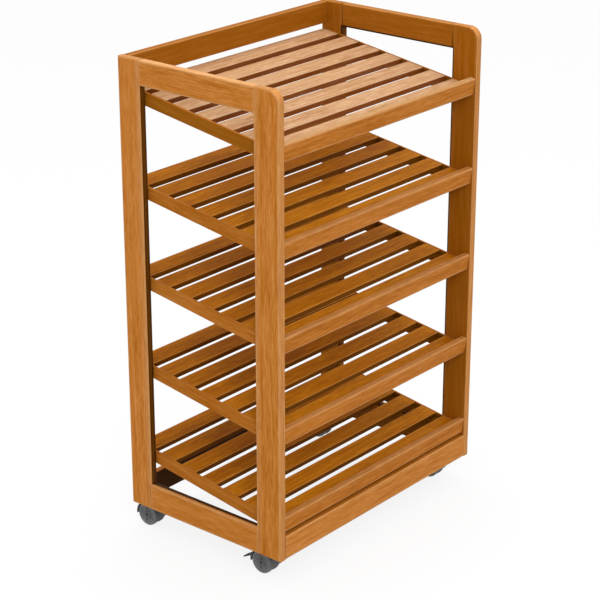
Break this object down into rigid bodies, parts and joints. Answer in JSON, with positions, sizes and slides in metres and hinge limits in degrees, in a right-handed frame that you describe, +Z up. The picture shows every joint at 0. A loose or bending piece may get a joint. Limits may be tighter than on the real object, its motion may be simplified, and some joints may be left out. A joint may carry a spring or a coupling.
{
  "type": "bread rack",
  "caption": "Wooden bakery rack on braked casters: slatted shelves slope to the front behind raised lips, between two flat side frames joined by rails.",
  "frame": {"origin": "on the floor, under the middle of the rack's wooden frame", "axes": "+X across the rack to its right as seen from the front, +Y from the front to the back, +Z up"},
  "size_m": [0.664, 0.4354, 1.061],
  "materials": {
    "frame_wood": "oiled, warm honey brown",
    "shelf_wood": "oiled, warm honey brown",
    "slat_wood": "oiled, warm honey brown",
    "dowel_wood": "raw beech",
    "block_wood": "raw",
    "screw_steel": "zinc plated",
    "plate_steel": "zinc plated",
    "axle_steel": "bright",
    "housing_plastic": "satin",
    "wheel_plastic": "satin grey",
    "pedal_plastic": "satin black"
  },
  "bodies": {
    "rack": {"left_front_stile": "frame_wood", "left_rear_stile": "frame_wood", "left_top_rail": "frame_wood", "left_bottom_rail": "frame_wood", "right_front_stile": "frame_wood", "right_rear_stile": "frame_wood", "right_top_rail": "frame_wood", "right_bottom_rail": "frame_wood", "back_top_rail": "frame_wood", "back_bottom_rail": "frame_wood", "front_bottom_rail": "frame_wood", "rail_dowels": "dowel_wood", "lip_dowels": "dowel_wood", "caster_blocks": "block_wood", "bearer_screws": "screw_steel", "block_screws": "screw_steel", "caster_screws": "screw_steel", "slat_pins": "screw_steel", "shelf_1_slats": "slat_wood", "shelf_1_lip": "shelf_wood", "shelf_1_left_bearer": "shelf_wood", "shelf_1_right_bearer": "shelf_wood", "shelf_2_slats": "slat_wood", "shelf_2_lip": "shelf_wood", "shelf_2_left_bearer": "shelf_wood", "shelf_2_right_bearer": "shelf_wood", "shelf_3_slats": "slat_wood", "shelf_3_lip": "shelf_wood", "shelf_3_left_bearer": "shelf_wood", "shelf_3_right_bearer": "shelf_wood", "shelf_4_slats": "slat_wood", "shelf_4_lip": "shelf_wood", "shelf_4_left_bearer": "shelf_wood", "shelf_4_right_bearer": "shelf_wood", "shelf_5_slats": "slat_wood", "shelf_5_lip": "shelf_wood", "shelf_5_left_bearer": "shelf_wood", "shelf_5_right_bearer": "shelf_wood", "caster_plates": "plate_steel", "caster_kingpins": "plate_steel"},
    "front_left_caster_swivel": {"front_left_caster_housing": "housing_plastic", "front_left_caster_axle": "axle_steel"},
    "front_left_caster_left_wheel": {"front_left_caster_left_wheel": "wheel_plastic"},
    "front_left_caster_right_wheel": {"front_left_caster_right_wheel": "wheel_plastic"},
    "front_left_caster_brake_pedal": {"front_left_caster_brake_pedal": "pedal_plastic"},
    "rear_left_caster_swivel": {"rear_left_caster_housing": "housing_plastic", "rear_left_caster_axle": "axle_steel"},
    "rear_left_caster_left_wheel": {"rear_left_caster_left_wheel": "wheel_plastic"},
    "rear_left_caster_right_wheel": {"rear_left_caster_right_wheel": "wheel_plastic"},
    "front_right_caster_swivel": {"front_right_caster_housing": "housing_plastic", "front_right_caster_axle": "axle_steel"},
    "front_right_caster_left_wheel": {"front_right_caster_left_wheel": "wheel_plastic"},
    "front_right_caster_right_wheel": {"front_right_caster_right_wheel": "wheel_plastic"},
    "front_right_caster_brake_pedal": {"front_right_caster_brake_pedal": "pedal_plastic"},
    "rear_right_caster_swivel": {"rear_right_caster_housing": "housing_plastic", "rear_right_caster_axle": "axle_steel"},
    "rear_right_caster_left_wheel": {"rear_right_caster_left_wheel": "wheel_plastic"},
    "rear_right_caster_right_wheel": {"rear_right_caster_right_wheel": "wheel_plastic"}
  },
  "joints": [
    {"name": "front_left_caster_turn", "type": "hinge", "parent": "rack", "child": "front_left_caster_swivel", "pos_m": [-0.292, -0.166, 0.061], "axis": [0, 0, 1], "continuous": true},
    {"name": "front_left_caster_left_spin", "type": "hinge", "parent": "front_left_caster_swivel", "child": "front_left_caster_left_wheel", "pos_m": [-0.3015, -0.138, 0.026], "axis": [1, 0, 0], "continuous": true},
    {"name": "front_left_caster_right_spin", "type": "hinge", "parent": "front_left_caster_swivel", "child": "front_left_caster_right_wheel", "pos_m": [-0.2825, -0.138, 0.026], "axis": [1, 0, 0], "continuous": true},
    {"name": "front_left_caster_brake", "type": "hinge", "parent": "front_left_caster_swivel", "child": "front_left_caster_brake_pedal", "pos_m": [-0.292, -0.1045, 0.03], "axis": [1, 0, 0], "range_deg": [-20, 0]},
    {"name": "rear_left_caster_turn", "type": "hinge", "parent": "rack", "child": "rear_left_caster_swivel", "pos_m": [-0.292, 0.166, 0.061], "axis": [0, 0, 1], "continuous": true},
    {"name": "rear_left_caster_left_spin", "type": "hinge", "parent": "rear_left_caster_swivel", "child": "rear_left_caster_left_wheel", "pos_m": [-0.3015, 0.194, 0.026], "axis": [1, 0, 0], "continuous": true},
    {"name": "rear_left_caster_right_spin", "type": "hinge", "parent": "rear_left_caster_swivel", "child": "rear_left_caster_right_wheel", "pos_m": [-0.2825, 0.194, 0.026], "axis": [1, 0, 0], "continuous": true},
    {"name": "front_right_caster_turn", "type": "hinge", "parent": "rack", "child": "front_right_caster_swivel", "pos_m": [0.292, -0.166, 0.061], "axis": [0, 0, 1], "continuous": true},
    {"name": "front_right_caster_left_spin", "type": "hinge", "parent": "front_right_caster_swivel", "child": "front_right_caster_left_wheel", "pos_m": [0.2825, -0.138, 0.026], "axis": [1, 0, 0], "continuous": true},
    {"name": "front_right_caster_right_spin", "type": "hinge", "parent": "front_right_caster_swivel", "child": "front_right_caster_right_wheel", "pos_m": [0.3015, -0.138, 0.026], "axis": [1, 0, 0], "continuous": true},
    {"name": "front_right_caster_brake", "type": "hinge", "parent": "front_right_caster_swivel", "child": "front_right_caster_brake_pedal", "pos_m": [0.292, -0.1045, 0.03], "axis": [1, 0, 0], "range_deg": [-20, 0]},
    {"name": "rear_right_caster_turn", "type": "hinge", "parent": "rack", "child": "rear_right_caster_swivel", "pos_m": [0.292, 0.166, 0.061], "axis": [0, 0, 1], "continuous": true},
    {"name": "rear_right_caster_left_spin", "type": "hinge", "parent": "rear_right_caster_swivel", "child": "rear_right_caster_left_wheel", "pos_m": [0.2825, 0.194, 0.026], "axis": [1, 0, 0], "continuous": true},
    {"name": "rear_right_caster_right_spin", "type": "hinge", "parent": "rear_right_caster_swivel", "child": "rear_right_caster_right_wheel", "pos_m": [0.3015, 0.194, 0.026], "axis": [1, 0, 0], "continuous": true}
  ]
}
